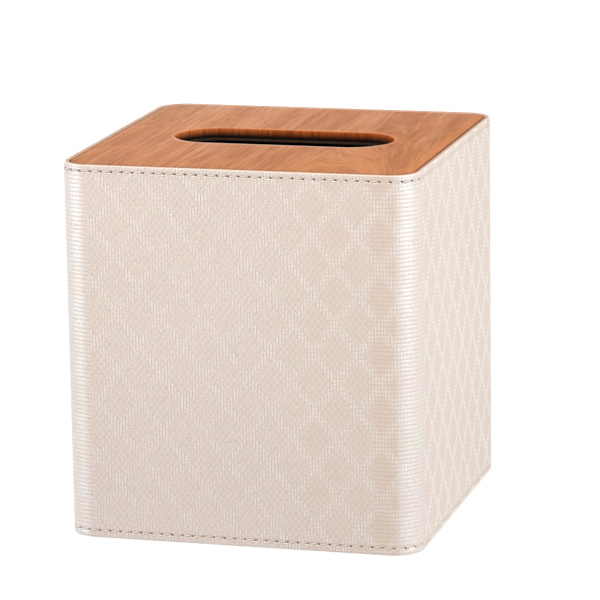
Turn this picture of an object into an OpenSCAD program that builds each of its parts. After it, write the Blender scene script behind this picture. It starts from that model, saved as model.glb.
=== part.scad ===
// Cover for an upright tissue cube: a stitched leatherette sleeve round a boarded carcass,
// with a slotted wooden lid that drops into the rim.
// Origin: middle of the footprint, on the surface it stands on. The front faces -Y.

/* [Body] */
// Width over the leatherette, left to right
body_w = 134; // [124:1:200]
// Depth over the leatherette, front to back
body_d = 134; // [124:1:200]
// Height of the rim above the surface it stands on
body_h = 140.7; // [80:0.1:200]
// Outside radius of the four upright corners
corner_r = 11; // [9:0.5:20]

/* [Sleeve] */
// Thickness of the embossed outer skin
skin_t = 1; // [0.8:0.1:1.6]
// Thickness of the backing sheet glued and stitched inside the skin
backing_t = 1; // [0.8:0.1:1.6]
// Height of the sleeve's lower edge above the surface it stands on
sleeve_lift = 0.5; // [0.3:0.1:0.8]
// Rounding of the sleeve's trimmed and dyed edges
edge_r = 0.4; // [0.2:0.1:0.5]
// Width of the butt joint where the two ends of a sheet meet
seam_gap = 0.3; // [0.2:0.1:0.6]
// Distance of each sheet's butt joint from the middle of the back
seam_step = 8; // [2:1:30]

/* [Stitching] */
// Distance from one needle hole to the next
stitch_pitch = 4; // [3:0.5:6]
// Width of the thread, which is also the height of its groove
thread_w = 0.8; // [0.6:0.1:1.2]
// Depth of the groove that the thread fills
thread_t = 0.4; // [0.2:0.1:0.6]
// Gap between two stitches, where the thread goes down its hole
needle_gap = 0.8; // [0.5:0.1:1.2]
// Upper row, measured from the rim down to the thread's middle
top_row_drop = 2.3; // [1.6:0.1:4]
// Lower row, measured from the sleeve's lower edge up to the thread's middle
bottom_row_rise = 2.6; // [1.6:0.1:6]

/* [Carcass] */
// Thickness of the four wall boards
board_t = 3; // [2:0.5:5]
// Thickness of the floor board
base_t = 3; // [2:0.5:6]
// Width of a corner post's lap behind each board
post_lap = 3; // [2:0.5:5]
// Diameter of the dowels through the floor into the posts
dowel_d = 3; // [2:0.5:4]
// Length of those dowels
dowel_l = 16; // [10:1:30]
// Clearance round a dowel and at its blind end
dowel_clear = 0.05; // [0.02:0.01:0.1]

/* [Linings] */
// Thickness of the wall and floor linings
lining_t = 0.8; // [0.4:0.1:1.5]
// Height that the wall linings stop short of the lid's seat
lining_drop = 0.3; // [0.2:0.1:2]
// Thickness of the soft sheet under the floor
pad_t = 1; // [0.9:0.1:2]
// Distance of that sheet's edge from the sleeve
pad_inset = 0.5; // [0.3:0.1:4]

/* [Lid] */
// Thickness of the wooden lid
lid_t = 4; // [3:0.5:8]
// Thickness of the felt under the lid
liner_t = 1; // [0.5:0.1:2]
// Distance of the felt's edge from the lid's edge
liner_inset = 1; // [0.5:0.5:2]
// Gap all round between the lid and the sleeve
lid_gap = 0.5; // [0.3:0.1:1]
// Depth of the lid's face below the rim
lid_recess = 0.2; // [0:0.1:1]
// Rounding of the lid's outer edges
lid_edge_r = 0.5; // [0.3:0.1:1]
// Length of the slot
slot_l = 84; // [50:1:100]
// Width of the slot between its straight sides
slot_w = 31; // [20:1:40]
// Distance of the slot's middle behind the middle of the lid
slot_back = 2; // [0:0.5:5]
// Rounding of the slot's upper edge
slot_edge_r = 0.9; // [0.4:0.1:1.5]

/* [Hidden] */
$fn = 96;

// Overrun of a cut past the face that it starts from
over = 0.5;
// Share of a diagonal that each of its two sides takes
diagonal_share = cos(45);

// Axis of an upright corner's rounding, shared by all that bends round that corner
axis_x = body_w / 2 - corner_r;
axis_y = body_d / 2 - corner_r;

// Inside of the skin and of the whole sleeve, as radii about a corner's axis
skin_r = corner_r - skin_t;
core_r = skin_r - backing_t;
core_x = axis_x + core_r;
core_y = axis_y + core_r;

// Inside of the boards
room_x = core_x - board_t;
room_y = core_y - board_t;
// Where the posts' laps end along the boards
lap_x = axis_x - post_lap;
lap_y = axis_y - post_lap;

// Heights, each on top of the one before
base_top = pad_t + base_t;
floor_top = base_top + lining_t;
lid_top = body_h - lid_recess;
lid_bottom = lid_top - lid_t;
seat_z = lid_bottom - liner_t;

// Thread rows
top_row_z = body_h - top_row_drop;
bottom_row_z = sleeve_lift + bottom_row_rise;

// A dowel stands midway between its post's inner face and its round outside
post_shoulder = core_r - board_t;
post_face = (post_shoulder - post_lap) * diagonal_share;
dowel_out = (post_face + core_r) / 2 * diagonal_share;

// Lid outline
lid_r = core_r - lid_gap;

// Rectangle about the middle, reaching to x and y, with its corners rounded about the body's axes
module body_outline(r) {
  square([2 * axis_x, 2 * (axis_y + r)], center = true);
  square([2 * (axis_x + r), 2 * axis_y], center = true);
  for (x = [-axis_x, axis_x], y = [-axis_y, axis_y])
    translate([x, y]) circle(r);
}

// Sweeps an upright section along the four sides and round the four corners of the body.
// In the section, x is the distance from a corner's axis and y is the height.
module around_body() {
  for (turn = [0:3]) {
    out = turn % 2 == 0 ? axis_x : axis_y;
    along = turn % 2 == 0 ? axis_y : axis_x;
    rotate(90 * turn) translate([out, along]) {
      rotate([90, 0, 0]) linear_extrude(2 * along) children();
      rotate_extrude(angle = 90) children();
    }
  }
}

// Repeats a piece that points outwards at even steps along the sides and round the corners
module each_step(pitch) {
  corner_count = max(1, round(corner_r * PI / 2 / pitch));
  for (turn = [0:3]) {
    out = turn % 2 == 0 ? axis_x : axis_y;
    along = turn % 2 == 0 ? axis_y : axis_x;
    side_count = max(1, round(2 * along / pitch));
    rotate(90 * turn) translate([out, along]) {
      for (i = [0.5:side_count]) translate([0, -2 * along * i / side_count]) children();
      for (i = [0.5:corner_count]) rotate(90 * i / corner_count) children();
    }
  }
}

// Section of one sheet of the sleeve, with the two edges on one side rounded
module sheet_section(inner, outer, round_outside) {
  round_x = round_outside ? outer - edge_r : inner + edge_r;
  square_x = round_outside ? inner : round_x;
  sheet_h = body_h - sleeve_lift;
  translate([square_x, sleeve_lift]) square([outer - inner - edge_r, sheet_h]);
  translate([inner, sleeve_lift + edge_r]) square([outer - inner, sheet_h - 2 * edge_r]);
  for (z = [sleeve_lift + edge_r, body_h - edge_r])
    translate([round_x, z]) circle(edge_r);
}

// Section of a thread row, from the groove's floor out to the skin's face
module thread_section(z, proud = 0) {
  translate([corner_r - thread_t, z - thread_w / 2]) square([thread_t + proud, thread_w]);
}

// Butt joint down the back of a sheet whose outer face is at radius outer
module seam_cut(x, inner, outer) {
  translate([x - seam_gap / 2, axis_y + inner - over, sleeve_lift - over])
    cube([seam_gap, outer - inner + 2 * over, body_h - sleeve_lift + 2 * over]);
}

// Embossed leatherette, bent round the four corners, with a groove for each thread row
module outer_skin() {
  color("#e3d6c9") difference() {
    around_body() difference() {
      sheet_section(skin_r, corner_r, true);
      for (z = [top_row_z, bottom_row_z]) thread_section(z, over);
    }
    seam_cut(seam_step, skin_r, corner_r);
  }
}

// Plain tan backing sheet, which forms the inner half of the rim and the lip round the lid
module inner_sleeve() {
  color("#a97c5b") difference() {
    around_body() sheet_section(core_r, skin_r, false);
    seam_cut(-seam_step, core_r, skin_r);
  }
}

// Row of stitches laid in its groove, parted where the thread goes down its needle holes
module stitch_row(z) {
  color("#f3ebdd") difference() {
    around_body() thread_section(z);
    each_step(stitch_pitch)
      translate([corner_r - thread_t - over, -needle_gap / 2, z - thread_w])
        cube([thread_t + 2 * over, needle_gap, 2 * thread_w]);
  }
}

module top_stitching() { stitch_row(top_row_z); }
module bottom_stitching() { stitch_row(bottom_row_z); }

// Wall board, laid against the inside of the sleeve at +Y and ending on the posts' shoulders
module wall_board(half_length, out) {
  color("#c9ab83") translate([-half_length, out - board_t, base_top])
    cube([2 * half_length, board_t, seat_z - base_top]);
}

module front_board() { rotate(180) wall_board(axis_x, core_y); }
module back_board() { wall_board(axis_x, core_y); }
module left_board() { rotate(90) wall_board(axis_y, core_x); }
module right_board() { rotate(-90) wall_board(axis_y, core_x); }

// Plan of a corner post about its corner's axis: a quarter round with a lap behind each board
// and a flat inner face from lap to lap
module post_plan() {
  difference() {
    union() {
      intersection() {
        circle(core_r);
        square(core_r);
      }
      polygon([[post_shoulder, -post_lap], [post_shoulder, post_shoulder],
               [-post_lap, post_shoulder]]);
    }
    polygon([[-post_lap, -post_lap], [post_shoulder, -post_lap], [-post_lap, post_shoulder]]);
  }
}

// Corner post in the +X, +Y corner, bored from below for its dowel
module corner_post() {
  color("#3b2e26") difference() {
    translate([axis_x, axis_y, base_top]) linear_extrude(seat_z - base_top) post_plan();
    dowel_bore();
  }
}

module back_right_post() { corner_post(); }
module back_left_post() { mirror([1, 0, 0]) corner_post(); }
module front_right_post() { mirror([0, 1, 0]) corner_post(); }
module front_left_post() { rotate(180) corner_post(); }

// Hole for the dowel in the +X, +Y corner, through the floor and into the post
module dowel_bore() {
  translate([axis_x + dowel_out, axis_y + dowel_out, pad_t - over])
    cylinder(h = dowel_l + over + dowel_clear, d = dowel_d + 2 * dowel_clear);
}

// Floor of the carcass, which the boards and posts stand on
module base_board() {
  color("#c9ab83") difference() {
    translate([0, 0, pad_t]) linear_extrude(base_t) body_outline(core_r);
    for (x = [0, 1], y = [0, 1])
      mirror([x, 0, 0]) mirror([0, y, 0]) dowel_bore();
  }
}

module base_dowels() {
  color("#dcc39a") for (x = [-1, 1], y = [-1, 1])
    translate([x * (axis_x + dowel_out), y * (axis_y + dowel_out), pad_t])
      cylinder(h = dowel_l, d = dowel_d);
}

// Soft sheet that the cover stands on, a little lower than the sleeve's edge
module base_pad() {
  color("#3a302b") linear_extrude(pad_t) body_outline(core_r - pad_inset);
}

// Floor lining, cut to the boards and to the posts' flat inner faces
module floor_lining() {
  color("#2b2320") translate([0, 0, base_top]) linear_extrude(lining_t)
    polygon([[room_x, -lap_y], [room_x, lap_y], [lap_x, room_y], [-lap_x, room_y],
             [-room_x, lap_y], [-room_x, -lap_y], [-lap_x, -room_y], [lap_x, -room_y]]);
}

// Lining of the board at +Y, from lap to lap
module wall_lining(half_length, out) {
  color("#2b2320") translate([-half_length, out - lining_t, floor_top])
    cube([2 * half_length, lining_t, seat_z - lining_drop - floor_top]);
}

module front_lining() { rotate(180) wall_lining(lap_x, room_y); }
module back_lining() { wall_lining(lap_x, room_y); }
module left_lining() { rotate(90) wall_lining(lap_y, room_x); }
module right_lining() { rotate(-90) wall_lining(lap_y, room_x); }

// Section of the lid's border from a corner's axis outwards, rounded above and below
module lid_section() {
  translate([0, lid_bottom]) square([lid_r - lid_edge_r, lid_t]);
  translate([0, lid_bottom + lid_edge_r]) square([lid_r, lid_t - 2 * lid_edge_r]);
  for (z = [lid_bottom + lid_edge_r, lid_top - lid_edge_r])
    translate([lid_r - lid_edge_r, z]) circle(lid_edge_r);
}

// Section of half the slot from its middle line, flaring over the rounded upper edge
module slot_section() {
  wall_x = slot_w / 2;
  round_z = lid_top - slot_edge_r;
  difference() {
    union() {
      translate([0, seat_z - over]) square([wall_x, lid_top - seat_z + 2 * over]);
      translate([0, round_z]) square([wall_x + slot_edge_r, slot_edge_r + over]);
    }
    translate([wall_x + slot_edge_r, round_z]) circle(slot_edge_r);
  }
}

// Round-ended slot through the lid and its felt
module slot_cut() {
  straight = slot_l - slot_w;
  translate([0, slot_back]) for (side = [0, 1]) rotate(180 * side) {
    translate([-straight / 2, 0]) rotate([90, 0, 90]) linear_extrude(straight) slot_section();
    translate([straight / 2, 0]) rotate(-90) rotate_extrude(angle = 180) slot_section();
  }
}

// Solid wooden lid, lying in the rim on the boards' upper edges
module lid_panel() {
  color("#cd9169") difference() {
    union() {
      around_body() lid_section();
      translate([-axis_x, -axis_y, lid_bottom]) cube([2 * axis_x, 2 * axis_y, lid_t]);
    }
    slot_cut();
  }
}

// Felt glued under the lid, with the same slot
module lid_liner() {
  color("#1d1816") difference() {
    translate([0, 0, seat_z]) linear_extrude(liner_t) body_outline(lid_r - liner_inset);
    slot_cut();
  }
}

outer_skin();
inner_sleeve();
top_stitching();
bottom_stitching();
front_board();
back_board();
left_board();
right_board();
front_left_post();
front_right_post();
back_left_post();
back_right_post();
base_board();
base_dowels();
base_pad();
floor_lining();
front_lining();
back_lining();
left_lining();
right_lining();
lid_panel();
lid_liner();
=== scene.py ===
import math
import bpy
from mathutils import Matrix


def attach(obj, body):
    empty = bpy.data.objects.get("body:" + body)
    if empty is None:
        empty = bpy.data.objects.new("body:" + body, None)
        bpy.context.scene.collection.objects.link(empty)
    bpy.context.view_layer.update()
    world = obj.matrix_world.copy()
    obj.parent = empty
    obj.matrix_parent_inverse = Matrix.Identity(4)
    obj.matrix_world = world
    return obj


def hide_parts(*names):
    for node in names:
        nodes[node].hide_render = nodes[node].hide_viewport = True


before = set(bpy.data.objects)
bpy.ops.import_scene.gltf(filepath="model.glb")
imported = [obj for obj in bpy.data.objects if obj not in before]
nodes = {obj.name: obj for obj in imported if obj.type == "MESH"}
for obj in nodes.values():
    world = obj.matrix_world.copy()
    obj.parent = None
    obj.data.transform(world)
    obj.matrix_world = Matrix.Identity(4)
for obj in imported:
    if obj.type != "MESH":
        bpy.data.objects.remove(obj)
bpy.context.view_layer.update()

from types import SimpleNamespace
import bmesh
import bpy
from mathutils import Matrix, Vector


# Camera: a long lens a little above the rim, turned so that the front shows nearly square on
# and the right side shows as a narrow strip. It takes in the whole cover on a square picture.
bpy.ops.object.camera_add(
    location=(0.36958, -1.31561, 0.38785),
    rotation=(math.radians(77.227), math.radians(0.865), math.radians(15.262)),
)
camera = bpy.context.object
camera.name = "studio_camera"
camera.data.sensor_width = 36
camera.data.lens = 221.73
camera.data.clip_end = 20
bpy.context.scene.camera = camera


# Floor board: 3 mm three-ply birch, cut with rounded corners to the inside of the sleeve.
# The wall boards and corner posts stand on it, and four dowels pass through it.
mm = 0.001
ply_layer = 1.0 * mm


def paint(red, green, blue):
    """Colour written as the eye sees it, 0 to 255, for a shader socket."""
    share = [value / 255 for value in (red, green, blue)]
    light = [s / 12.92 if s <= 0.04045 else ((s + 0.055) / 1.055) ** 2.4 for s in share]
    return (*light, 1)


class Tone:
    """A number, place or colour that varies over a surface: one output of a finish's nodes."""

    def __init__(self, tree, socket):
        self.tree = tree
        self.socket = socket

    def step(self, operation, *others):
        """One step of arithmetic on this tone, by the name that a Math node gives it."""
        return reckon(self.tree, operation, self, *others)

    def __add__(self, other):
        return self.step("ADD", other)

    def __sub__(self, other):
        return self.step("SUBTRACT", other)

    def __rsub__(self, other):
        return reckon(self.tree, "SUBTRACT", other, self)

    def __mul__(self, other):
        return self.step("MULTIPLY", other)

    def __truediv__(self, other):
        return self.step("DIVIDE", other)

    def __abs__(self):
        return self.step("ABSOLUTE")


def feed(tree, socket, value):
    """Sets a socket, or wires it where the value is a tone."""
    if isinstance(value, Tone):
        tree.links.new(value.socket, socket)
    else:
        socket.default_value = value


def reckon(tree, operation, *values):
    """One step of arithmetic in a finish."""
    node = tree.nodes.new("ShaderNodeMath")
    node.operation = operation
    for socket, value in zip(node.inputs, values):
        feed(tree, socket, value)
    return Tone(tree, node.outputs[0])


def start_finish(name):
    """Empty material with one shader, ready for its pattern."""
    finish = bpy.data.materials.new(name)
    finish.use_nodes = True
    tree = finish.node_tree
    tree.nodes.clear()
    shader = tree.nodes.new("ShaderNodeBsdfPrincipled")
    result = tree.nodes.new("ShaderNodeOutputMaterial")
    tree.links.new(shader.outputs["BSDF"], result.inputs["Surface"])
    return finish, tree, shader


def ease(value, start, end, low=0.0, high=1.0):
    """Smooth change from low to high as the value goes from start to end."""
    node = value.tree.nodes.new("ShaderNodeMapRange")
    node.interpolation_type = "SMOOTHSTEP"
    names = ("Value", "From Min", "From Max", "To Min", "To Max")
    for key, given in zip(names, (value, start, end, low, high)):
        feed(value.tree, node.inputs[key], given)
    return Tone(value.tree, node.outputs["Result"])


def stretched(vector, scale):
    """A place with each of its three parts scaled."""
    node = vector.tree.nodes.new("ShaderNodeMapping")
    feed(vector.tree, node.inputs["Vector"], vector)
    node.inputs["Scale"].default_value = scale
    return Tone(vector.tree, node.outputs["Vector"])


def place(tree, scale=(1, 1, 1)):
    """The piece's own coordinates in metres, scaled for a pattern."""
    own = tree.nodes.new("ShaderNodeTexCoord").outputs["Object"]
    return stretched(Tone(tree, own), scale)


def apart(vector):
    """The three parts of a place."""
    node = vector.tree.nodes.new("ShaderNodeSeparateXYZ")
    feed(vector.tree, node.inputs[0], vector)
    return [Tone(vector.tree, node.outputs[part]) for part in ("X", "Y", "Z")]


def facing(tree, axis):
    """How squarely the surface faces along an axis: 1 where it faces either way along it."""
    outwards = tree.nodes.new("ShaderNodeTexCoord").outputs["Normal"]
    return abs(apart(Tone(tree, outwards))[axis])


def mottle(vector, scale, detail=2.0, rough=0.5):
    """Soft random pattern from 0 to 1."""
    node = vector.tree.nodes.new("ShaderNodeTexNoise")
    feed(vector.tree, node.inputs["Vector"], vector)
    node.inputs["Scale"].default_value = scale
    node.inputs["Detail"].default_value = detail
    node.inputs["Roughness"].default_value = rough
    return Tone(vector.tree, node.outputs[0])


def tint(share, under, over, way="MIX"):
    """Lays one colour over another, or filters it through the other with MULTIPLY."""
    node = share.tree.nodes.new("ShaderNodeMix")
    node.data_type = "RGBA"
    node.blend_type = way
    for socket, value in ((0, share), (6, under), (7, over)):
        feed(share.tree, node.inputs[socket], value)
    return Tone(share.tree, node.outputs[2])


def fleck(under, pattern, start, end, most, colour):
    """Lays a colour where the pattern goes from start to end, at most by a share."""
    return tint(ease(pattern, start, end, 0.0, most), under, colour)


def coat(shader, colour, roughness, height, depth, strength):
    """Gives the shader its colour, roughness and relief, whose depth is in metres."""
    tree = height.tree
    bump = tree.nodes.new("ShaderNodeBump")
    bump.inputs["Strength"].default_value = strength
    bump.inputs["Distance"].default_value = depth
    feed(tree, bump.inputs["Height"], height)
    feed(tree, shader.inputs["Normal"], Tone(tree, bump.outputs["Normal"]))
    feed(tree, shader.inputs["Base Color"], colour)
    feed(tree, shader.inputs["Roughness"], roughness)


def dress(piece, finish):
    """Gives a piece one finish all over."""
    piece.data.materials.clear()
    piece.data.materials.append(finish)


def plywood(name, across, along):
    """Birch ply, with its layers across one axis and its face grain along another."""
    finish, tree, shader = start_finish(name)
    stretch = [700.0, 700.0, 700.0]
    stretch[along] = 25.0
    fibres = mottle(place(tree, stretch), 1.0, 4.0, 0.6)
    face = tint(fibres, paint(214, 184, 143), paint(190, 154, 112))
    face = fleck(face, mottle(place(tree), 45.0, 3.0), 0.35, 0.75, 0.5, paint(222, 197, 160))
    layers = (apart(place(tree))[across] * (math.pi / ply_layer)).step("SINE")
    specks = mottle(place(tree), 2600.0, 2.0, 0.7)
    end_grain = tint(specks, paint(150, 112, 74), paint(196, 160, 118))
    side_grain = tint(fibres, paint(205, 174, 132), paint(176, 140, 100))
    edge = tint(ease(layers, -0.15, 0.15), end_grain, side_grain)
    wood = tint(ease(facing(tree, across), 0.7, 0.4), face, edge)
    coat(shader, wood, ease(fibres, 0.2, 0.8, 0.55, 0.75), fibres, 0.05 * mm, 0.6)
    return finish


dress(nodes["base_board"], plywood("birch_ply_floor", across=2, along=0))


# Dowels: four 3 mm beech pins, glued through the floor board into the corner posts.
# Their lower ends are level with the board and hidden by the base sheet.
def beech(name):
    """Pale beech with short darker flecks along the pin."""
    finish, tree, shader = start_finish(name)
    short_flecks = mottle(place(tree, (2400, 2400, 260)), 1.0, 2.0, 0.6)
    grain = mottle(place(tree, (900, 900, 30)), 1.0, 3.0)
    wood = tint(grain, paint(222, 190, 150), paint(204, 168, 126))
    wood = fleck(wood, short_flecks, 0.58, 0.7, 0.7, paint(160, 116, 76))
    coat(shader, wood, ease(grain, 0.3, 0.7, 0.5, 0.62), grain, 0.04 * mm, 0.5)
    return finish


dress(nodes["base_dowels"], beech("beech_dowel"))


# Corner posts: four quarter-round lengths of wood, rebated for the boards and stained
# black-brown, since their flat inner faces show between the linings.
def stained_post(name):
    """Black-brown stain over upright grain, with open pores on the sawn ends."""
    finish, tree, shader = start_finish(name)
    fibres = mottle(place(tree, (1300, 1300, 22)), 1.0, 4.0, 0.6)
    pores = mottle(place(tree), 2200.0, 2.0, 0.7)
    side = tint(fibres, paint(62, 50, 42), paint(38, 30, 26))
    end = tint(ease(pores, 0.4, 0.6), paint(30, 23, 19), paint(74, 58, 47))
    wood = tint(ease(facing(tree, 2), 0.5, 0.8), side, end)
    coat(shader, wood, ease(fibres, 0.3, 0.7, 0.5, 0.68), fibres, 0.06 * mm, 0.7)
    return finish


post_finish = stained_post("stained_post")
for corner in ("front_left", "front_right", "back_left", "back_right"):
    dress(nodes[corner + "_post"], post_finish)


# Wall boards: four 3 mm birch ply boards that keep the sides flat. They butt on the posts'
# shoulders, and their upper edges are the seat that the lid lies on.
ply_front_back = plywood("birch_ply_front_back", across=1, along=0)
ply_sides = plywood("birch_ply_sides", across=0, along=1)
dress(nodes["front_board"], ply_front_back)
dress(nodes["back_board"], ply_front_back)
dress(nodes["left_board"], ply_sides)
dress(nodes["right_board"], ply_sides)


# Base sheet: 1 mm of dark suede-like fabric, die cut with rounded corners and glued under
# the floor. The cover stands on it, half a millimetre below the sleeve's lower edge.
pad_half = 64.5 * mm
pad_corner = 8.5 * mm
pad_thick = 1.0 * mm
pad_edge_round = 0.3 * mm
glued_edge_round = 0.12 * mm
merge_below = 0.001 * mm
same_level = 0.01 * mm


def pick(piece, kind, wanted):
    """Selects the verts, edges or faces whose middle is in the wanted place."""
    kinds = ("verts", "edges", "faces")
    bpy.context.tool_settings.mesh_select_mode = [kind == each for each in kinds]
    bpy.ops.mesh.select_all(action="DESELECT")
    shape = bmesh.from_edit_mesh(piece.data)
    for part in getattr(shape, kind):
        points = [part.co] if kind == "verts" else [v.co for v in part.verts]
        part.select_set(bool(wanted(sum(points, Vector()) / len(points), points)))
    shape.select_flush_mode()
    bmesh.update_edit_mesh(piece.data)


def settle():
    """Puts the active object's place, turn and size into its mesh."""
    bpy.ops.object.transform_apply(location=True, rotation=True, scale=True)


def label(piece, name):
    """Gives a piece and its mesh their name."""
    piece.name = name
    piece.data.name = name


def face_outwards():
    """Turns all the faces outwards, in edit mode."""
    bpy.ops.mesh.select_all(action="SELECT")
    bpy.ops.mesh.normals_make_consistent(inside=False)


def cut_outline(name, half, corner, height, segments):
    """Square flat blank with rounded corners at a height, left in edit mode."""
    bpy.ops.object.select_all(action="DESELECT")
    bpy.ops.mesh.primitive_plane_add(size=2, location=(0, 0, height))
    piece = bpy.context.object
    label(piece, name)
    piece.scale = (half, half, 1)
    settle()
    bpy.ops.object.mode_set(mode="EDIT")
    bpy.ops.mesh.select_all(action="SELECT")
    bpy.ops.mesh.bevel(offset=corner, segments=segments, affect="VERTICES")
    return piece


def level_edges(height, reach=None):
    """Rule for the edges that lie at a height, and where the reach allows."""
    def rule(middle, points):
        level = all(abs(point.z - height) < same_level for point in points)
        return level and (reach is None or reach(middle))
    return rule


def round_edges(piece, wanted, width, segments):
    """Rounds the wanted edges."""
    pick(piece, "edges", wanted)
    bpy.ops.mesh.bevel(offset=width, segments=segments, affect="EDGES", loop_slide=False)


def close_piece(piece, smooth_below=35):
    """Leaves edit mode with the faces outwards, and smooth where the surface curves."""
    bpy.ops.mesh.select_all(action="SELECT")
    bpy.ops.mesh.remove_doubles(threshold=merge_below)
    face_outwards()
    bpy.ops.object.mode_set(mode="OBJECT")
    bpy.ops.object.shade_smooth_by_angle(angle=math.radians(smooth_below))
    even = piece.modifiers.new("flat_faces_stay_flat", "WEIGHTED_NORMAL")
    even.keep_sharp = True
    bpy.ops.object.modifier_apply(modifier=even.name)


def slab(name, half, corner, top, thick, segments):
    """Sheet or board with rounded corners, left in edit mode."""
    piece = cut_outline(name, half, corner, top, segments)
    bpy.ops.mesh.extrude_region_move(TRANSFORM_OT_translate={"value": (0, 0, -thick)})
    return piece


def suede(name, light, dark):
    """Short nap: fine fibres, brushed patches and a soft sheen."""
    finish, tree, shader = start_finish(name)
    nap = mottle(place(tree), 5200.0, 2.0, 0.7)
    brushed = mottle(place(tree, (60, 60, 24)), 1.0, 3.0, 0.55)
    fabric = tint(ease(nap * 0.6 + brushed * 0.4, 0.3, 0.7), dark, light)
    coat(shader, fabric, ease(brushed, 0.3, 0.7, 0.85, 0.98), nap, 0.12 * mm, 0.8)
    shader.inputs["Sheen Weight"].default_value = 0.25
    shader.inputs["Sheen Roughness"].default_value = 0.4
    shader.inputs["Specular IOR Level"].default_value = 0.2
    return finish


base_sheet = slab("base_sheet", pad_half, pad_corner, pad_thick, pad_thick, 12)
round_edges(base_sheet, level_edges(0), pad_edge_round, 3)
round_edges(base_sheet, level_edges(pad_thick), glued_edge_round, 2)
close_piece(base_sheet)
dress(base_sheet, suede("base_suede", paint(74, 62, 55), paint(40, 32, 28)))
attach(base_sheet, "box")
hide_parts("base_pad")


# Linings: five pieces of the same dark nap, 0.8 mm thick, glued to the floor and the boards.
# The floor piece is cut off square at its corners, where the posts' flat faces stand.
lining_thick = 0.8 * mm
room_half = 62.0 * mm
lap_end = 53.0 * mm
lining_low = 4.8 * mm
lining_high = 135.2 * mm
floor_lining_round = 0.2 * mm
wall_lining_round = 0.3 * mm
lining_nap = suede("lining_suede", paint(46, 39, 35), paint(24, 19, 17))

floor_sheet = slab("floor_sheet", room_half, room_half - lap_end, lining_low, lining_thick, 1)
round_edges(floor_sheet, level_edges(lining_low), floor_lining_round, 2)
close_piece(floor_sheet)
dress(floor_sheet, lining_nap)
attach(floor_sheet, "box")
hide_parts("floor_lining")


def wall_sheet(name, turn):
    """Lining of one wall, modelled against the back board and turned to its own side."""
    bpy.ops.object.select_all(action="DESELECT")
    bpy.ops.mesh.primitive_cube_add(
        size=1, location=(0, room_half - lining_thick / 2, (lining_low + lining_high) / 2)
    )
    piece = bpy.context.object
    label(piece, name)
    piece.scale = (2 * lap_end, lining_thick, lining_high - lining_low)
    settle()
    bpy.ops.object.mode_set(mode="EDIT")
    inner_face = room_half - lining_thick
    round_edges(
        piece,
        lambda middle, points: all(point.y < inner_face + same_level for point in points),
        wall_lining_round, 3,
    )
    bpy.ops.object.mode_set(mode="OBJECT")
    piece.rotation_euler.z = turn
    settle()
    bpy.ops.object.mode_set(mode="EDIT")
    close_piece(piece)
    return piece


for side, turn in (("back", 0), ("left", 0.5), ("front", 1), ("right", 1.5)):
    sheet = wall_sheet(side + "_sheet", turn * math.pi)
    dress(sheet, lining_nap)
    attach(sheet, "box")
    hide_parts(side + "_lining")


# Backing sheet: smooth tan-brown leatherette, 1 mm thick, bent round the carcass with a butt
# joint at the back. Its burnished upper edge is the inner half of the rim and the lid's lip.
sleeve_low = 0.5 * mm
rim_high = 140.7 * mm
corner_axis = 56.0 * mm
skin_face = 11.0 * mm
skin_back = 10.0 * mm
sleeve_inside = 9.0 * mm
backing_joint_x = -8 * mm
backing_heights = [sleeve_low, 35 * mm, 70 * mm, 105 * mm, rim_high]
joint_gap = 0.3 * mm
trimmed_edge_round = 0.4 * mm
near = 0.1 * mm
corner_segments = 16
steps_per_side = 28
cuts_per_step = 4
side_length = 2 * corner_axis


def out_from_axis(point):
    """Distance out from the axis that the nearest corner is bent about."""
    across = max(abs(point.x) - corner_axis, 0)
    along = max(abs(point.y) - corner_axis, 0)
    return math.hypot(across, along)


def bent_wall(name, face, joint_x, heights):
    """Upright wall round the four corners, open at its butt joint on the back."""
    piece = cut_outline(name, corner_axis + face, face, heights[0], corner_segments)
    bpy.ops.mesh.delete(type="ONLY_FACE")
    step_length = side_length / steps_per_side
    column = step_length / cuts_per_step
    for whole, cuts in ((side_length, steps_per_side), (step_length, cuts_per_step)):
        pick(piece, "edges", lambda middle, points: (points[0] - points[1]).length > whole / 2)
        bpy.ops.mesh.subdivide(number_cuts=cuts - 1)

    def at_back(x):
        return lambda middle, points: middle.y > corner_axis and abs(middle.x - x) < near

    pick(piece, "verts", at_back(joint_x))
    bpy.ops.mesh.delete(type="VERT")
    for way in (-1, 1):
        pick(piece, "verts", at_back(joint_x + way * column))
        reach = way * (joint_gap / 2 - column)
        bpy.ops.mesh.extrude_region_move(TRANSFORM_OT_translate={"value": (reach, 0, 0)})
    bpy.ops.mesh.select_all(action="SELECT")
    for low, high in zip(heights, heights[1:]):
        bpy.ops.mesh.extrude_region_move(TRANSFORM_OT_translate={"value": (0, 0, high - low)})
    face_outwards()
    bpy.ops.object.mode_set(mode="OBJECT")
    return piece


def thicken(piece, thick):
    """Turns the outer face into a sheet, with its thickness inwards."""
    sheet_depth = piece.modifiers.new("sheet_thickness", "SOLIDIFY")
    sheet_depth.thickness = thick
    sheet_depth.offset = -1
    sheet_depth.use_even_offset = True
    bpy.ops.object.modifier_apply(modifier=sheet_depth.name)
    bpy.ops.object.mode_set(mode="EDIT")


def round_cut_edges(piece, trimmed, glued):
    """Rounds both ends of a sheet's height: well on its trimmed side, hardly on its glued one."""
    for level in (sleeve_low, rim_high):
        for radius, width, segments in (
            (trimmed, trimmed_edge_round, 4),
            (glued, glued_edge_round, 1),
        ):
            def on_radius(middle):
                return abs(out_from_axis(middle) - radius) < 2 * near
            round_edges(piece, level_edges(level, on_radius), width, segments)


backing = bent_wall("backing_sheet", skin_back, backing_joint_x, backing_heights)
thicken(backing, skin_back - sleeve_inside)
round_cut_edges(backing, sleeve_inside, skin_back)
close_piece(backing)


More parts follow.
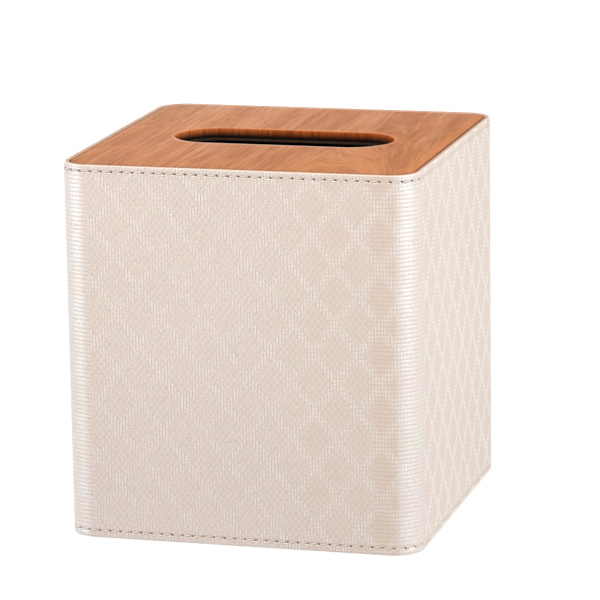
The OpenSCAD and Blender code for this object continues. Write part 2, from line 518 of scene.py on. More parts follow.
def smooth_backing(name):
    """Tan-brown, a little uneven, its upright faces painted lighter to lift the gap's shade."""
    finish, tree, shader = start_finish(name)
    grain = mottle(place(tree), 1500.0, 3.0, 0.6)
    dye = mottle(place(tree, (1, 1, 3)), 160.0, 3.0)
    tan = tint(ease(dye, 0.3, 0.7), paint(200, 157, 128), paint(184, 140, 111))
    tan = fleck(tan, grain, 0.45, 0.7, 0.35, paint(162, 118, 90))
    # Painted light: upright faces lighter, lifting the shade in the narrow gap round the lid.
    tan = tint(ease(facing(tree, 2), 0.8, 0.3), tan, paint(214, 174, 146))
    coat(shader, tan, ease(grain, 0.3, 0.7, 0.42, 0.58), grain, 0.05 * mm, 0.5)
    return finish


dress(backing, smooth_backing("burnished_backing"))
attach(backing, "box")
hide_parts("inner_sleeve")


# Outer skin: pearly cream leatherette, 1 mm thick, embossed with a plain weave whose longer
# threads draw a diamond lattice. It is bonded over the backing and stitched along both edges;
# the stitches press a groove into it and pucker it at each needle hole.
row_heights = (3.1 * mm, 138.4 * mm)
groove_side = 0.36 * mm
groove_edge = 0.6 * mm
groove_shoulder = 0.9 * mm
groove_depth = 0.32 * mm
groove_side_depth = 0.6 * groove_depth
hole_sink = 0.22 * mm
hole_side_sink = 0.14 * mm
skin_joint_x = 8 * mm
below_row = (-groove_shoulder, -groove_edge, -groove_side)
above_row = (groove_side, groove_edge, groove_shoulder)
skin_heights = [sleeve_low]
skin_heights += [row_heights[0] + line for line in (*below_row, 0, *above_row)]
skin_heights += [height * mm for height in range(14, 130, 12)]
skin_heights += [row_heights[1] + line for line in (*below_row, 0, *above_row)]
skin_heights += [rim_high]
skin = bent_wall("leatherette_skin", skin_face, skin_joint_x, skin_heights)
thicken(skin, skin_face - skin_back)
round_cut_edges(skin, skin_face, skin_back)

corner_run = skin_face * math.pi / 2
steps_per_corner = 4
steps_all_round = 4 * (steps_per_side + steps_per_corner)
steps_from_joint = skin_joint_x / side_length * steps_per_side


def round_the_box(point, side_units, corner_units):
    """How far a point is from the butt joint, going round by the left, front and right."""
    x, y = point.x, point.y
    quarter = side_units + corner_units
    if y > corner_axis and abs(x) <= corner_axis:
        run = (skin_joint_x - x) / side_length * side_units
        return run if run >= 0 else run + 4 * quarter
    start = (skin_joint_x + corner_axis) / side_length * side_units
    angle = math.atan2(max(abs(y) - corner_axis, 0), max(abs(x) - corner_axis, 0)) / (math.pi / 2)
    if x < 0 and y > corner_axis:
        return start + (1 - angle) * corner_units
    start += corner_units
    if x < 0 and abs(y) <= corner_axis:
        return start + (corner_axis - y) / side_length * side_units
    start += side_units
    if x < -corner_axis:
        return start + angle * corner_units
    start += corner_units
    if y < 0 and abs(x) <= corner_axis:
        return start + (x + corner_axis) / side_length * side_units
    start += side_units
    if y < -corner_axis:
        return start + (1 - angle) * corner_units
    start += corner_units
    if abs(y) <= corner_axis:
        return start + (y + corner_axis) / side_length * side_units
    return start + side_units + angle * corner_units


def at_hole(point):
    """Whether a point is level with a needle hole, halfway from one stitch to the next."""
    steps = round_the_box(point, steps_per_side, steps_per_corner) - steps_from_joint
    return abs(steps % 1 - 0.5) < 0.1


def press(depth, row, line, where=lambda middle: True):
    """Pushes the skin's face inwards along the lines at a distance above and below a row."""
    def wanted(middle, points):
        on_line = abs(abs(middle.z - row) - line) < near
        on_face = out_from_axis(middle) > skin_back + 3 * near
        return on_line and on_face and where(middle)
    pick(skin, "verts", wanted)
    bpy.ops.transform.shrink_fatten(value=-depth)


for row in row_heights:
    press(hole_sink, row, 0, at_hole)
    press(hole_side_sink, row, groove_side, at_hole)
    press(groove_depth, row, 0)
    press(groove_side_depth, row, groove_side)
close_piece(skin, smooth_below=50)

sheet_map = skin.data.uv_layers.new(name="sheet")
stitch_map = skin.data.uv_layers.new(name="stitches")
for loop in skin.data.loops:
    point = skin.data.vertices[loop.vertex_index].co
    run = round_the_box(point, side_length, corner_run)
    steps = round_the_box(point, steps_per_side, steps_per_corner)
    sheet_map.data[loop.index].uv = (run, point.z)
    stitch_map.data[loop.index].uv = (steps / steps_all_round, point.z)


warp_pitch = 1.18 * mm
weft_pitch = 1.54 * mm
lattice_threads = 7
lattice_run = 213.1 * mm
lattice_height = 118.0 * mm
quarter_run = side_length + corner_run
front_start = skin_joint_x + corner_axis + side_length + 2 * corner_run


def own_map(tree, name):
    """The piece's own flat map of that name."""
    node = tree.nodes.new("ShaderNodeUVMap")
    node.uv_map = name
    return Tone(tree, node.outputs["UV"])


def joined(x, y, z=0.0):
    """One place from its three parts."""
    node = x.tree.nodes.new("ShaderNodeCombineXYZ")
    for part, value in zip(("X", "Y", "Z"), (x, y, z)):
        feed(x.tree, node.inputs[part], value)
    return Tone(x.tree, node.outputs[0])


def between(share, first, second):
    """One number eased into another by a share."""
    node = share.tree.nodes.new("ShaderNodeMix")
    node.data_type = "FLOAT"
    for socket, value in ((0, share), (2, first), (3, second)):
        feed(share.tree, node.inputs[socket], value)
    return Tone(share.tree, node.outputs[0])


def round_the_sheet(run):
    """What changes from side to side: the bends, the ribbed strip before them, and where painted
    sheen is stronger or fainter.
    """
    turns = (run - front_start) / quarter_run
    along = turns.step("FRACT") * quarter_run
    to_bend = abs(along - (side_length - 0.4 * mm))
    from_corner = (run - (front_start - corner_run / 2)).step("PINGPONG", quarter_run / 2)
    # Painted sheen masks: each side's right third, the left and right sides, and each side's
    # middle.
    one_sided = ((turns - 0.8) * (2 * math.pi)).step("COSINE")
    flank = ease((turns - 0.433).step("PINGPONG", 1.0), 0.42, 0.62)
    right_third = ease(one_sided, -0.1, 0.8)
    bending = ease(along, side_length + 3.0 * mm, side_length + 4.4 * mm)
    shining = ease(along, side_length + 2.8 * mm, side_length + 5.4 * mm)
    return SimpleNamespace(
        one_sided=one_sided,
        flank=flank,
        right_third=right_third,
        sheen_zone=right_third.step("MAXIMUM", flank),
        towards_middle=ease(from_corner, 0.2 * quarter_run, 0.42 * quarter_run),
        last_rows=ease(along, side_length - 4.0 * mm, side_length - 0.5 * mm, 1.0, 0.7),
        strip=ease(to_bend, 5.6 * mm, 4.2 * mm),
        bent=bending.step("MAXIMUM", ease(along, 1.0 * mm, 0.0)),
        # Painted sheen round each bend.
        turned=shining * ease(along, quarter_run - 0.6 * mm, quarter_run - 3.0 * mm),
    )


def lattice(sheet, height, warp, weft, where):
    """How far each spot is from the lattice, in threads, and where its threads float."""
    number = warp.step("FLOOR") + 0.5
    falling = (number + weft).step("PINGPONG", lattice_threads)
    rising = (number - weft).step("PINGPONG", lattice_threads)
    rising = rising + (1.0 - where.sheen_zone) * 0.3
    from_lattice = falling.step("MINIMUM", rising)
    edge = between(where.flank, between(where.right_third, 1.6, 1.3), 1.65)
    core = between(where.flank, between(where.right_third, 0.95, 0.75), 0.95)

    # The lattice shows crisper or fainter: less low down, in random patches, and with the painted
    # sheen, fainter towards each side's middle above 50 mm.
    patchy = mottle(sheet, 60.0, 3.0)
    crisp = ease(height, 0.0, 120.0 * mm, 0.66, 1.0) * ease(patchy, 0.35, 0.6, 0.55, 1.0)
    faint = where.towards_middle * ease(height, 50.0 * mm, 75.0 * mm)
    crisp = crisp * between(faint, 1.0, 0.9) * between(where.right_third, 0.9, 1.0)
    crisp = between(where.flank, crisp, 1.0) * (1.0 - where.bent) * where.last_rows
    return from_lattice, ease(from_lattice, edge, core) * crisp


def embossing(warp, weft, floats, where):
    """Height of the weave, and of the floating threads alone, from 0 to 1."""
    warp_round = abs((warp * math.pi).step("SINE"))
    weft_round = abs((weft * math.pi).step("SINE"))
    twill = ((warp - weft) * math.pi).step("COSINE")
    cross = ((warp + weft) * math.pi).step("COSINE")
    diagonal = between(where.towards_middle, 0.52, 0.59)
    depth = between(where.right_third, 0.18, 0.24) + where.flank * 0.18
    checker = (twill * diagonal - cross + cross * diagonal) * depth
    flat_weave = warp_round * 0.26 + checker + 0.35
    bent_weave = weft_round * 0.38 + warp_round * 0.2 + 0.2
    even = where.flank.step("MAXIMUM", ease(where.one_sided, 0.0, 0.9, 0.0, 0.6))
    float_weave = warp_round * between(weft_round, between(even, 0.8, 0.4), 1.0)
    weave = between(where.bent.step("MAXIMUM", where.strip), flat_weave, bent_weave)
    return between(floats, weave, float_weave), float_weave


def cream_ground(sheet, weave, drift, flank):
    """Cream with painted shade in the weave's hollows and painted light on its threads, with
    clouds, specks and strands.
    """
    # Painted shade and light: darker in the weave's hollows, lighter on its raised threads.
    cream = tint(ease(weave, 0.12, 0.85), paint(206, 190, 180), paint(229, 215, 206))
    cream = fleck(cream, mottle(sheet, 22.0, 3.0), 0.35, 0.7, 0.3, paint(228, 211, 202))
    cream = fleck(cream, drift, 0.52, 0.7, 0.3, paint(226, 203, 194))
    cream = fleck(cream, drift, 0.48, 0.3, 0.3, paint(221, 212, 196))
    grit = mottle(sheet, 1900.0, 2.0, 0.7)
    gritty = between(flank, 0.72, 0.8)
    cream = fleck(cream, grit, 0.5, 0.28, gritty, paint(196, 178, 166))
    cream = fleck(cream, grit, 0.5, 0.7, gritty, paint(246, 236, 227))
    strands = mottle(stretched(sheet, (850, 380, 1)), 1.0, 1.0)
    cream = fleck(cream, strands, 0.48, 0.32, 0.14, paint(210, 193, 182))
    return fleck(cream, strands, 0.52, 0.68, 0.14, paint(243, 232, 223))


def shaded_cream(cream, sheet, height, weave, in_diamond, where):
    """Painted tan shade in the diamonds and on the ribbed strip, painted sheen round the bends,
    painted shade on the sides and lower down.
    """
    # Painted tan shade inside the diamonds on each side's right third, with pink and yellow
    # patches in it.
    diamond_tan_shade = where.right_third * between(where.flank, 1.0, 0.3) * in_diamond
    cream = tint(diamond_tan_shade * 0.26, cream, paint(220, 196, 177))
    patches = mottle(sheet, 62.0, 1.0)
    cream = fleck(cream, patches, 0.5, 0.62, diamond_tan_shade * 0.16, paint(228, 198, 190))
    cream = fleck(cream, patches, 0.5, 0.38, diamond_tan_shade * 0.16, paint(212, 200, 176))
    # Painted tan shade on the ribbed strip before each bend, stronger in the weave's hollows.
    strip_tan_shade = where.strip * (1.0 - where.bent) * between(in_diamond, 0.5, 1.0)
    strip_tan_shade = strip_tan_shade * ease(weave, 0.75, 0.2, 0.2, 0.5)
    cream = tint(strip_tan_shade, cream, paint(210, 185, 165))
    # Painted sheen round the bends: lighter and cooler.
    cream = tint(where.turned, cream, (0.99, 1.07, 1.14, 1), "MULTIPLY")
    # Slight painted shade on the left and right sides.
    cream = tint(where.flank, cream, paint(251, 250, 248), "MULTIPLY")
    # Painted shade lower down on the plain faces, gone above 80 mm.
    plain_face = 1.0 - where.turned.step("MAXIMUM", where.flank * 0.6)
    low_shade = ease(height, 80.0 * mm, 15.0 * mm) * plain_face
    return tint(low_shade, cream, paint(250, 250, 251), "MULTIPLY")


def pearly_threads(cream, sheet, floats, float_weave, where):
    """Floating threads with a painted pearly highlight on top and painted shade between them."""
    # Painted shade between the floating threads.
    gap = floats * ease(float_weave, 0.6, 0.2, 0.0, 0.6) * between(where.sheen_zone, 0.85, 0.3)
    cream = tint(gap, cream, paint(194, 178, 168))
    uneven = ease(mottle(sheet, 520.0, 1.0), 0.36, 0.62, 0.22, 1.0)
    pearl = floats * ease(float_weave, between(where.flank, 0.6, 0.3), 0.98)
    pearl = pearl * uneven.step("MAXIMUM", where.flank * 0.9) * between(where.sheen_zone, 0.85, 1.0)
    # Painted pearly highlight on the floating threads, whiter on the left and right sides.
    gleam = tint(where.flank, paint(253, 246, 237), paint(255, 252, 246))
    return tint(pearl * between(where.flank, 0.75, 1.0), cream, gleam), pearl


hole_slant = math.radians(-32)
hole_length = 0.52 * mm
hole_breadth = 0.24 * mm


def needle_holes(tree, cream):
    """Needle holes painted dark as the shade in them, and painted shade and light on the groove's
    slopes.
    """
    steps, height, _ = apart(own_map(tree, "stitches"))
    number = steps * float(steps_all_round) + (1 - steps_from_joint)
    beside = (number.step("FRACT") - 0.5) * (side_length / steps_per_side)
    upper_row = height.step("GREATER_THAN", rim_high / 2)
    above = height - between(upper_row, *row_heights)

    # Painted shade on the groove's lower slope, painted light on its upper slope.
    on_slope = ease(abs(above), 1.05 * mm, 0.8 * mm) * ease(abs(above), 0.35 * mm, 0.6 * mm)
    upwards = above.step("GREATER_THAN", 0.0)
    slope = tint(upwards, (0.82, 0.81, 0.8, 1), (1.06, 1.06, 1.06, 1))
    cream = tint(on_slope, cream, slope, "MULTIPLY")

    cosine, sine = math.cos(hole_slant), math.sin(hole_slant)
    length = beside * (cosine / hole_length) + above * (sine / hole_length)
    breadth = beside * (-sine / hole_breadth) + above * (cosine / hole_breadth)
    hole = ease((length * length + breadth * breadth).step("SQRT"), 1.15, 0.8)
    each_hole = tree.nodes.new("ShaderNodeTexWhiteNoise")
    each_hole.noise_dimensions = "2D"
    feed(tree, each_hole.inputs["Vector"], joined(number.step("FLOOR"), upper_row.step("ROUND")))
    random = Tone(tree, each_hole.outputs["Value"])
    # Holes painted dark, standing in for the shade inside them; the lower row's browner and
    # lighter.
    dark_top = tint(random, paint(28, 20, 16), paint(104, 78, 60))
    dark_low = tint(random, paint(78, 57, 44), paint(178, 150, 128))
    return hole, tint(hole, cream, tint(upper_row, dark_low, dark_top))


def embossed_leatherette(name):
    """Plain weave with floating threads along a diamond lattice, in pearly cream."""
    finish, tree, shader = start_finish(name)
    sheet = own_map(tree, "sheet")
    run, height, _ = apart(sheet)
    drift = mottle(sheet, 150.0)
    warp = (run - lattice_run) / warp_pitch
    weft = (height - lattice_height + (drift - 0.5) * (0.7 * mm)) / weft_pitch
    where = round_the_sheet(run)
    from_lattice, floats = lattice(sheet, height, warp, weft, where)
    weave, float_weave = embossing(warp, weft, floats, where)

    cream = cream_ground(sheet, weave, drift, where.flank)
    cream = shaded_cream(cream, sheet, height, weave, ease(from_lattice, 1.3, 2.8), where)
    cream, pearl = pearly_threads(cream, sheet, floats, float_weave, where)
    cream = tint(ease(facing(tree, 2), 0.5, 0.85), cream, paint(230, 209, 190))
    hole, cream = needle_holes(tree, cream)
    roughness = ease(pearl, 0.0, 1.0, 0.4, 0.3) + hole * 0.5
    coat(shader, cream, roughness, weave - hole * 2.0, 0.12 * mm, 1.0)
    feed(tree, shader.inputs["Metallic"], ease(pearl, 0.0, 1.0, 0.18, 0.3) - hole * 0.2)
    return finish


dress(skin, embossed_leatherette("embossed_leatherette"))
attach(skin, "box")
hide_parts("outer_skin")


# Stitching: two rows of waxed cream thread, 28 stitches to a side and four round each corner,
# which hold the skin to the backing. Each stitch lies in the groove and dips into a needle
# hole at each end.
stitch_length = 3.1 * mm
thread_radius = 0.36 * mm
stitch_slant = math.radians(7)
stitch_sunk = 0.28 * mm
stitch_out = skin_face - stitch_sunk
# Towards a hole: how far each part of the thread reaches, as a share of the stitch, how far
# it sinks in mm, and how much thinner it gets.
stitch_ends = ((0.13, 0.06, 0.92), (0.09, 0.14, 0.75), (0.05, 0.2, 0.6))


def one_stitch():
    """A thread from hole to hole, lying on the front: thick in the middle, with sunk ends."""
    bpy.ops.object.select_all(action="DESELECT")
    bpy.ops.mesh.primitive_cylinder_add(
        vertices=8, radius=thread_radius, depth=0.5 * stitch_length, rotation=(0, math.pi / 2, 0),
        end_fill_type="NGON",
    )
    piece = bpy.context.object
    settle()
    bpy.ops.object.mode_set(mode="EDIT")
    for way in (-1, 1):
        pick(piece, "faces", lambda middle, points: way * middle.x > 0.24 * stitch_length)
        for reach, sink, size in stitch_ends:
            bpy.ops.mesh.extrude_region_move(
                TRANSFORM_OT_translate={"value": (way * reach * stitch_length, sink * mm, 0)}
            )
            bpy.ops.transform.resize(value=(1, size, size))
    bpy.ops.mesh.select_all(action="SELECT")
    bpy.ops.transform.resize(value=(1, 0.8, 1), center_override=(0, 0, 0))
    bpy.ops.mesh.normals_make_consistent(inside=False)
    bpy.ops.object.mode_set(mode="OBJECT")
    bpy.ops.object.shade_smooth_by_angle(angle=math.radians(60))
    thread_map = piece.data.uv_layers.new(name="thread")
    for face in piece.data.polygons:
        for index in face.loop_indices:
            point = piece.data.vertices[piece.data.loops[index].vertex_index].co
            around = math.atan2(point.z, -point.y) / (2 * math.pi)
            thread_map.data[index].uv = (point.x / stitch_length + 0.5, around + 0.5)
    piece.rotation_euler.y = -stitch_slant
    settle()
    return piece


def waxed_thread(name):
    """Twisted strands with a waxy gleam, shaded below where they dip into a hole."""
    finish, tree, shader = start_finish(name)
    along, around, _ = apart(own_map(tree, "thread"))
    strand = abs(((along * 5.0 + around) * (2 * math.pi)).step("SINE"))
    fuzz = mottle(place(tree), 6000.0, 2.0)
    cream = tint(ease(strand, 0.0, 0.7), paint(211, 197, 187), paint(229, 217, 207))
    cream = fleck(cream, fuzz, 0.4, 0.8, 0.3, paint(217, 201, 190))
    to_hole = ease(along, 0.45, 0.8, 0.0, 0.6)
    cream = fleck(cream, abs(around - 0.38), 0.1, 0.04, to_hole, paint(138, 110, 92))
    coat(shader, cream, ease(fuzz, 0.3, 0.7, 0.5, 0.7), strand, 0.08 * mm, 0.8)
    return finish


def stitch_places(height):
    """Where each stitch of a row goes, along the four sides and round the corners."""
    places = []
    for quarter in range(4):
        turn = Matrix.Rotation(quarter * math.pi / 2, 4, "Z")
        for step in range(steps_per_side):
            x = -corner_axis + step * side_length / steps_per_side
            places.append(turn @ Matrix.Translation((x, -corner_axis - stitch_out, height)))
        for step in range(steps_per_corner):
            bend = Matrix.Rotation(step / steps_per_corner * math.pi / 2, 4, "Z")
            axis = Matrix.Translation((corner_axis, -corner_axis, height))
            places.append(turn @ axis @ bend @ Matrix.Translation((0, -stitch_out, 0)))
    return places


pattern_stitch = one_stitch()
dress(pattern_stitch, waxed_thread("waxed_thread"))
for row_name, node_name, height in (
    ("top_stitch_row", "top_stitching", row_heights[1]),
    ("bottom_stitch_row", "bottom_stitching", row_heights[0]),
):
    bpy.ops.object.select_all(action="DESELECT")
    for spot in stitch_places(height):
        stitch = pattern_stitch.copy()
        stitch.data = pattern_stitch.data.copy()
        bpy.context.collection.objects.link(stitch)
        stitch.matrix_world = spot
        stitch.select_set(True)
        bpy.context.view_layer.objects.active = stitch
    bpy.ops.object.join()
    thread_row = bpy.context.object
    settle()
    label(thread_row, row_name)
    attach(thread_row, "box")
    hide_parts(node_name)
bpy.data.objects.remove(pattern_stitch)


# Lid: one 4 mm board of warm reddish wood, oiled, its grain from front to back, with a
# round-ended slot routed through it and its edges eased. It drops into the rim and lifts off.
lid_half = 64.5 * mm
lid_corner = 8.5 * mm
lid_top = 140.5 * mm
lid_thick = 4.0 * mm
slot_half_length = 42.0 * mm
slot_half_width = 15.5 * mm
slot_straight = slot_half_length - slot_half_width
slot_behind = 2.0 * mm
lid_edge_round = 0.25 * mm
slot_upper_round = 0.9 * mm
slot_lower_round = 0.3 * mm
cutter_overrun = 1.0 * mm


def in_slot(middle):
    """Whether a point lies on the slot's wall."""
    past_end = max(abs(middle.x) - slot_straight, 0)
    return math.hypot(past_end, middle.y - slot_behind) < slot_half_width + near / 2


def rout_slot(piece, top, thick):
    """Cuts the slot through a board or sheet with a round-ended cutter."""
    face_outwards()
    bpy.ops.object.mode_set(mode="OBJECT")
    bpy.ops.object.select_all(action="DESELECT")
    bpy.ops.mesh.primitive_circle_add(
        vertices=96, radius=slot_half_width, fill_type="NGON",
        location=(0, slot_behind, top + cutter_overrun),
    )
    cutter = bpy.context.object
    settle()
    bpy.ops.object.mode_set(mode="EDIT")
    for way in (-1, 1):
        pick(cutter, "verts", lambda middle, points: way * middle.x > same_level)
        bpy.ops.transform.translate(value=(way * slot_straight, 0, 0))
    bpy.ops.mesh.select_all(action="SELECT")
    bpy.ops.mesh.extrude_region_move(
        TRANSFORM_OT_translate={"value": (0, 0, -thick - 2 * cutter_overrun)}
    )
    face_outwards()
    bpy.ops.object.mode_set(mode="OBJECT")
    bpy.ops.object.select_all(action="DESELECT")
    bpy.context.view_layer.objects.active = piece
    piece.select_set(True)
    routed = piece.modifiers.new("slot", "BOOLEAN")
    routed.operation = "DIFFERENCE"
    routed.solver = "EXACT"
    routed.object = cutter
    bpy.ops.object.modifier_apply(modifier=routed.name)
    bpy.data.objects.remove(cutter)
    bpy.ops.object.mode_set(mode="EDIT")


lid_bottom = lid_top - lid_thick
lid = slab("slotted_lid", lid_half, lid_corner, lid_top, lid_thick, 16)
for level in (lid_top, lid_bottom):
    round_edges(lid, level_edges(level), lid_edge_round, 3)
rout_slot(lid, lid_top, lid_thick)
round_edges(lid, level_edges(lid_top, in_slot), slot_upper_round, 5)
round_edges(lid, level_edges(lid_bottom, in_slot), slot_lower_round, 2)
close_piece(lid)


def growth_rings(tree, x, y, ripple):
    """The cut rings: straight on the left, and one arched figure round a line on the right."""
    wander = mottle(place(tree, (24, 7, 24)), 1.0, 2.0, 0.5)
    sideways = x - 36.0 * mm + (wander - 0.5) * (7.0 * mm)
    figure = ease(abs(sideways), 30.0 * mm, 8.0 * mm)
    fading = ((y + 62.0 * mm) * (-1 / (45.0 * mm))).step("EXPONENT")
    arch = (1.0 - fading) * (542.0 * mm * mm) * ease(sideways, -16.0 * mm, -2.0 * mm)
    ring = (sideways * sideways + arch.step("MAXIMUM", 0.0)).step("SQRT")
    ring = ring + ripple * between(figure, 1.0 * mm, 2.2 * mm)
    return SimpleNamespace(ring=ring, sideways=sideways, along=y, figure=figure)


def along_rings(rings, per_metre, lengthways, detail):
    """Irregular pattern that keeps to the growth rings."""
    spot = joined(rings.ring * per_metre, rings.along * lengthways, rings.sideways * lengthways)
    return mottle(spot, 1.0, detail, 0.55)


def figured_board(tree, x, y, fibres, pores, rings, ripple):
    """Colour of the board's faces: bands, rings, fibres, fine dark seams, blotches and pores."""
    bands = along_rings(rings, 95.0, 5.0, 2.0)
    growth = along_rings(rings, 380.0, 7.0, 2.0)
    seams = abs(along_rings(rings, 90.0, 2.0, 0.0) - 0.5)
    blotch = mottle(place(tree, (70, 45, 70)), 1.0, 3.0, 0.6)
    deep = between(rings.figure, 0.46, 0.4)
    dark_fibres = between(rings.figure, 0.66, 0.42)
    broken = ease(ripple, 0.42, 0.6) * 0.5
    wood = tint(ease(bands, 0.3, 0.7), paint(190, 123, 84), paint(213, 149, 109))
    wood = fleck(wood, growth, 0.5, 0.66, deep, paint(170, 104, 68))
    wood = fleck(wood, growth, 0.45, 0.3, 0.25, paint(222, 162, 122))
    wood = fleck(wood, fibres, 0.52, 0.7, dark_fibres, paint(166, 100, 64))
    wood = fleck(wood, fibres, 0.48, 0.28, 0.46, paint(229, 171, 130))
    wood = fleck(wood, seams, 0.026, 0.006, broken, paint(160, 94, 60))
    wood = fleck(wood, blotch, 0.5, 0.66, 0.42, paint(192, 132, 100))
    wood = fleck(wood, blotch, 0.48, 0.34, 0.42, paint(218, 148, 104))
    wood = fleck(wood, pores, 0.55, 0.72, 0.42, paint(158, 98, 64))
    wood = fleck(wood, pores, 0.45, 0.28, 0.25, paint(226, 168, 128))
    warmer = ease(x - y, -60.0 * mm, 110.0 * mm)
    paler = ease(x - y, -65.0 * mm, -115.0 * mm)
    wood = tint(warmer, wood, paint(246, 232, 206), "MULTIPLY")
    return tint(paler, wood, (1.05, 1.18, 1.25, 1), "MULTIPLY")


def beyond(x, y, reach_x, reach_y):
    """Distance outside a rectangle about the middle."""
    over_x = (abs(x) - reach_x).step("MAXIMUM", 0.0)
    over_y = (abs(y) - reach_y).step("MAXIMUM", 0.0)
    return (over_x * over_x + over_y * over_y).step("SQRT")


def worked_edges(wood, x, y, from_edge):
    """Warmer wood round the slot, a painted highlight on the slot's arris, and painted shade
    along the right and front edges.
    """
    behind = y - slot_behind
    from_slot = beyond(x, behind, slot_straight, 0.0) - slot_half_width
    near_side = ease(behind, -6.0 * mm, -13.0 * mm)
    arris_end = between(near_side, 2.0 * mm, 2.7 * mm)
    # Painted highlight along the slot's arris, paler and stronger on the near side.
    arris = ease(from_slot, 0.1 * mm, 0.5 * mm) * ease(from_slot, arris_end, 1.2 * mm)
    arris_colour = tint(near_side, paint(244, 168, 122), paint(238, 204, 180))
    wood = fleck(wood, from_slot, 5.0 * mm, 1.5 * mm, 0.25, paint(208, 132, 88))
    wood = tint(arris * between(near_side, 0.24, 0.85), wood, arris_colour)
    right_edge = ease(x, 54.0 * mm, 60.0 * mm)
    front_edge = ease(y, -56.0 * mm, -60.0 * mm)
    wood = fleck(wood, from_edge, 8.0 * mm, 1.5 * mm, right_edge * 0.55, paint(216, 136, 80))
    # Painted shade along the right and front edges, where the gap round the lid lies in shade.
    edge_gap_shade = ease(from_edge, 1.2 * mm, 0.5 * mm, 0.0, 0.4) * right_edge
    edge_gap_shade = edge_gap_shade + ease(from_edge, 3.4 * mm, 1.8 * mm, 0.0, 0.34) * front_edge
    return tint(edge_gap_shade, wood, paint(126, 76, 46))


def cut_walls(tree, x, z, from_edge):
    """The slot's orange-brown wall with painted shade darkening it downwards, and the lid's dark
    outer edge.
    """
    ends = mottle(place(tree, (900, 900, 60)), 1.0, 2.0, 0.6)
    rightwards = ease(x, -36.0 * mm, 0.0)
    burnt = tint(rightwards, paint(196, 106, 54), paint(180, 88, 32))
    streaks = tint(rightwards, paint(160, 80, 34), paint(138, 62, 14))
    burnt = tint(ease(ends, 0.3, 0.7), burnt, streaks)
    # Painted shade: the slot's wall darkens to near black downwards.
    inner = fleck(burnt, z, lid_top - 0.2 * mm, lid_top - 3.4 * mm, 1.0, paint(14, 6, 4))
    outer = tint(ease(z, lid_top, lid_top - 0.9 * mm), paint(152, 92, 56), paint(104, 62, 38))
    return tint(ease(from_edge, 2.0 * mm, 1.0 * mm), inner, outer)


def oiled_wood(name):
    """Flat-sawn board: straight grain that opens into one arched figure on the right."""
    finish, tree, shader = start_finish(name)
    x, y, z = apart(place(tree))
    ripple = mottle(place(tree, (110, 60, 110)), 1.0, 3.0, 0.5)
    rings = growth_rings(tree, x, y, ripple)
    fibres = along_rings(rings, 1500.0, 40.0, 3.0)
    pores = mottle(place(tree, (2600, 420, 2600)), 1.0, 2.0, 0.6)
    from_edge = lid_corner - beyond(x, y, corner_axis, corner_axis)
    wood = figured_board(tree, x, y, fibres, pores, rings, ripple)
    wood = worked_edges(wood, x, y, from_edge)
    wall = ease(facing(tree, 2), 0.93, 0.55)
    wood = tint(wall, wood, cut_walls(tree, x, z, from_edge))
    grain_height = fibres - ease(pores, 0.6, 0.72, 0.0, 0.8)
    coat(shader, wood, ease(fibres, 0.3, 0.7, 0.55, 0.68), grain_height, 0.03 * mm, 0.6)
    shader.inputs["Specular IOR Level"].default_value = 0.08
    return finish


dress(lid, oiled_wood("oiled_lid_wood"))
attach(lid, "lid")
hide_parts("lid_panel")


# Felt: 1 mm of dense dark felt with the same slot, glued under the lid a little in from its
# edge, so that the lid seats softly. Its cut edge shows as a dark brown line inside the slot.
felt_half = 63.5 * mm
felt_corner = 7.5 * mm
felt_thick = 1.0 * mm
felt_edge_round = 0.3 * mm
felt = slab("felt_underlay", felt_half, felt_corner, lid_bottom, felt_thick, 16)
rout_slot(felt, lid_bottom, felt_thick)
round_edges(felt, level_edges(lid_bottom - felt_thick), felt_edge_round, 3)
close_piece(felt)


def dense_felt(name):
    """Matted fibres in dark brown."""
    finish, tree, shader = start_finish(name)
    fibres = mottle(place(tree), 3400.0, 4.0, 0.75)
    patches = mottle(place(tree), 240.0, 2.0)
    brown = tint(ease(fibres, 0.35, 0.68), paint(38, 27, 21), paint(84, 62, 50))
    brown = fleck(brown, patches, 0.4, 0.7, 0.4, paint(62, 46, 37))
    coat(shader, brown, ease(patches, 0.3, 0.7, 0.88, 1.0), fibres, 0.15 * mm, 0.8)
    shader.inputs["Sheen Weight"].default_value = 0.1
    shader.inputs["Sheen Tint"].default_value = paint(214, 170, 140)
    shader.inputs["Specular IOR Level"].default_value = 0.1
    return finish


dress(felt, dense_felt("dense_felt"))
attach(felt, "lid")
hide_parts("lid_liner")


# Studio: a wide white floor that keeps a soft shadow, white surroundings, and soft lamps left,
# right, overhead and behind. An opening under the base sheet leaves it in view from below.
floor_half = 3.0
floor_opening_half = 61.5 * mm
floor_drop = 0.03 * mm
cover_middle = 70 * mm


def seen_directly(tree):
    """1 for the rays that show a thing itself or its reflection, 0 for those that light."""
    rays = tree.nodes.new("ShaderNodeLightPath").outputs
    camera_ray = Tone(tree, rays["Is Camera Ray"])
    glossy_ray = Tone(tree, rays["Is Glossy Ray"])
    clear_ray = Tone(tree, rays["Is Transmission Ray"])
    return camera_ray.step("MAXIMUM", glossy_ray).step("MAXIMUM", clear_ray)


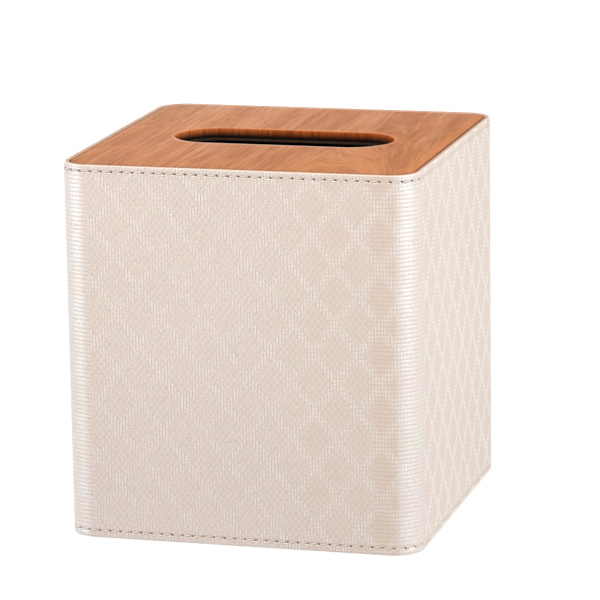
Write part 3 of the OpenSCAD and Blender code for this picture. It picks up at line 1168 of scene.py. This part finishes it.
bpy.ops.object.select_all(action="DESELECT")
bpy.ops.mesh.primitive_plane_add(size=2 * floor_half, location=(0, 0, -floor_drop))
floor = bpy.context.object
floor.name = "studio_floor"
settle()
bpy.ops.object.mode_set(mode="EDIT")
bpy.ops.mesh.select_all(action="SELECT")
bpy.ops.mesh.inset(thickness=floor_half - floor_opening_half)
bpy.ops.mesh.delete(type="FACE")
bpy.ops.object.mode_set(mode="OBJECT")
white_floor = bpy.data.materials.new("white_floor")
white_floor.use_nodes = True
tree = white_floor.node_tree
tree.nodes.clear()
matt = tree.nodes.new("ShaderNodeBsdfDiffuse")
matt.inputs["Color"].default_value = (0.18, 0.18, 0.18, 1)
glow = tree.nodes.new("ShaderNodeEmission")
glow.inputs["Color"].default_value = (0.95, 0.95, 0.95, 1)
feed(tree, glow.inputs["Strength"], seen_directly(tree))
both = tree.nodes.new("ShaderNodeAddShader")
tree.links.new(matt.outputs[0], both.inputs[0])
tree.links.new(glow.outputs[0], both.inputs[1])
result = tree.nodes.new("ShaderNodeOutputMaterial")
tree.links.new(both.outputs[0], result.inputs["Surface"])
dress(floor, white_floor)

surroundings = bpy.data.worlds.new("white_surroundings")
bpy.context.scene.world = surroundings
surroundings.use_nodes = True
tree = surroundings.node_tree
tree.nodes.clear()
backdrop = tree.nodes.new("ShaderNodeBackground")
backdrop.inputs["Color"].default_value = (1, 1, 1, 1)
feed(tree, backdrop.inputs["Strength"], ease(seen_directly(tree), 0.0, 1.0, 0.36, 1.0))
result = tree.nodes.new("ShaderNodeOutputWorld")
tree.links.new(backdrop.outputs[0], result.inputs["Surface"])


def soft_lamp(name, spot, width, tall, power, colour=(1.0, 1.0, 1.0)):
    """Soft lamp at a spot, aimed at the middle of the cover."""
    aim = Vector((0, 0, cover_middle)) - Vector(spot)
    bpy.ops.object.light_add(
        type="AREA", location=spot, rotation=aim.to_track_quat("-Z", "Y").to_euler()
    )
    lamp = bpy.context.object
    lamp.name = name
    lamp.data.shape = "RECTANGLE"
    lamp.data.size = width
    lamp.data.size_y = tall
    lamp.data.energy = power
    lamp.data.color = colour


soft_lamp("left_softbox", (-1.08, -0.65, 0.35), 0.7, 0.7, 9.9)
soft_lamp("right_softbox", (1.13, -0.41, 0.35), 1.0, 0.6, 11.5)
soft_lamp("overhead", (-0.05, -0.5, 0.9), 0.6, 0.6, 4.4, (1.0, 0.99, 0.98))
soft_lamp("rear_fill", (1.1, 1.1, 0.5), 0.8, 0.8, 4.0)
soft_lamp("rear_strip", (-0.4, 1.2, 0.075), 0.8, 0.1, 5.0)

bpy.context.scene.view_settings.view_transform = "Standard"
